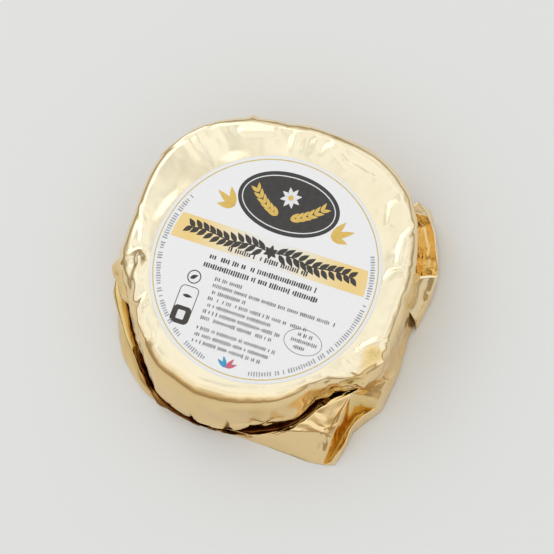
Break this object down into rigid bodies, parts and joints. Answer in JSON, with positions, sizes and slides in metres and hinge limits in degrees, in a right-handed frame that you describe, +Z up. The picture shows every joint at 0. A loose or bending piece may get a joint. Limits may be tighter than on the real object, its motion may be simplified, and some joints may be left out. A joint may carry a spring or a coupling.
{
  "type": "foil-wrapped round butter block",
  "caption": "Round block of butter wrapped in crumpled gold foil with gathered corner ears and a round paper label on its flat top.",
  "frame": {"origin": "middle of the whole pack's box, on the surface it stands on", "axes": "+Z up, +X the label's reading direction, +Y towards the label's top"},
  "size_m": [0.1048, 0.1022, 0.0357],
  "materials": {
    "gold_foil": "thin gold-lacquered foil, crumpled, satin to bright",
    "label_paper": "smooth coated white paper with plain printed fields"
  },
  "bodies": {
    "root": {"foil_pack": "gold_foil", "label": "label_paper"}
  },
  "joints": []
}
